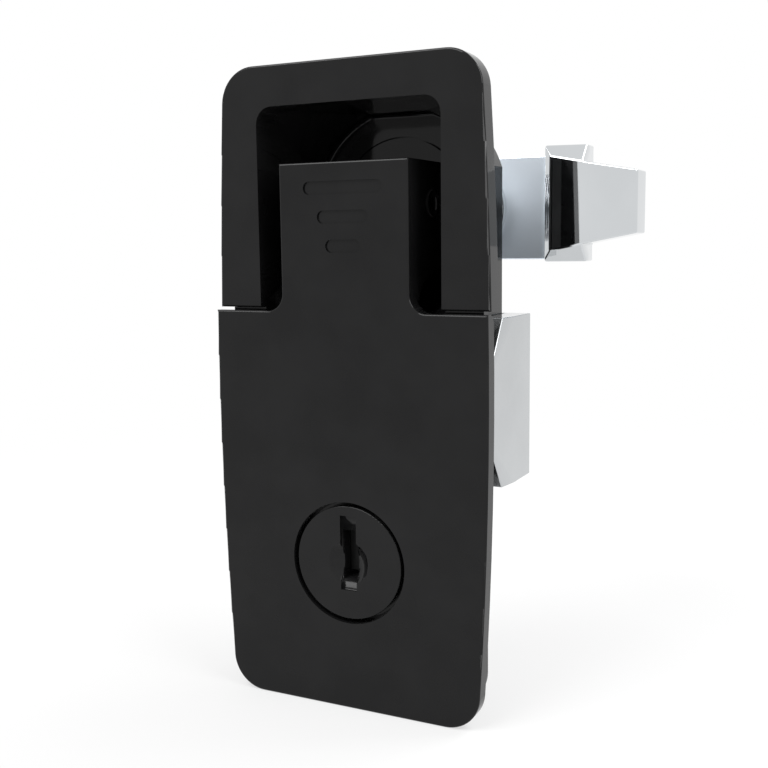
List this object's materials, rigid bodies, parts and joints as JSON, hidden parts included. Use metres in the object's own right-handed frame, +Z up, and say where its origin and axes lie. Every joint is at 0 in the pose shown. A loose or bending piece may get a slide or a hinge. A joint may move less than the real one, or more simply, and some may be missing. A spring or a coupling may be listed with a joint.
{
  "type": "compression latch",
  "caption": "Flush lift-and-turn compression latch with a folding lever handle, key lock, cranked pawl and panel bracket.",
  "frame": {"origin": "the spindle axis, in the front face of the panel that the latch is fitted to", "axes": "+X to the right of a person facing the latch, +Y along the spindle into the door, +Z up"},
  "size_m": [0.0686, 0.0711, 0.112],
  "materials": {
    "housing_black": "gloss black powder coat",
    "handle_black": "semi-gloss black powder coat",
    "rotor_black": "gloss black",
    "pin_black": "gloss black",
    "barrel_black": "gloss black",
    "plug_black": "gloss black",
    "gasket_rubber": "matt black rubber",
    "seal_rubber": "matt black rubber",
    "bracket_zinc": "bright zinc plate, lightly brushed",
    "pawl_zinc": "bright zinc plate, polished",
    "spindle_zinc": "bright zinc plate",
    "nut_zinc": "bright zinc plate",
    "screw_zinc": "bright zinc plate",
    "washer_steel": "bright zinc plate",
    "wear_steel": "hardened steel",
    "ring_steel": "phosphated spring steel",
    "spring_steel": "bright spring steel",
    "shutter_steel": "satin stainless steel",
    "wafer_brass": "brass",
    "cam_zinc": "bright zinc plate"
  },
  "bodies": {
    "housing": {"housing": "housing_black", "panel_gasket": "gasket_rubber", "mounting_bracket": "bracket_zinc", "bracket_screws": "screw_zinc", "bracket_washers": "screw_zinc", "thrust_washer": "washer_steel"},
    "rotor": {"rotor": "rotor_black", "wear_plate": "wear_steel", "rotor_seal": "seal_rubber", "rotor_retaining_ring": "ring_steel", "front_spring_seat": "washer_steel"},
    "spindle_head": {"spindle_head": "spindle_zinc"},
    "handle": {"handle": "handle_black", "handle_pin": "pin_black", "lock_barrel": "barrel_black", "lock_nut": "nut_zinc"},
    "key_plug": {"key_plug": "plug_black", "key_shutter": "shutter_steel", "wafers": "wafer_brass", "lock_cam": "cam_zinc", "cam_screw": "screw_zinc"},
    "pawl": {"spindle_rod": "spindle_zinc", "compression_spring": "spring_steel", "back_spring_seat": "washer_steel", "front_pawl_nut": "nut_zinc", "pawl_washers": "washer_steel", "pawl": "pawl_zinc", "rear_pawl_nut": "nut_zinc"}
  },
  "joints": [
    {"name": "spindle_slide", "type": "slide", "parent": "housing", "child": "spindle_head", "axis": [0, 1, 0], "range_m": [0, 0.005], "deforming": ["compression_spring"]},
    {"name": "handle_lift", "type": "hinge", "parent": "spindle_head", "child": "handle", "pos_m": [0, 0.0049, 0], "axis": [-1, 0, 0], "range_deg": [0, 90]},
    {"name": "key_turn", "type": "hinge", "parent": "handle", "child": "key_plug", "pos_m": [0, -0.0051, -0.0617], "axis": [0, 1, 0], "range_deg": [0, 90]},
    {"name": "pawl_turn", "type": "hinge", "parent": "spindle_head", "child": "pawl", "pos_m": [0, 0.03, 0], "axis": [0, -1, 0], "range_deg": [0, 90]},
    {"name": "rotor_turn", "type": "hinge", "parent": "housing", "child": "rotor", "pos_m": [0, 0.0186, 0], "axis": [0, -1, 0], "range_deg": [0, 90]}
  ],
  "couplings": [
    {"joint": "spindle_slide", "follows": "handle_lift", "m_per_rad": 0.0031831},
    {"joint": "rotor_turn", "follows": "pawl_turn", "ratio": 1}
  ]
}
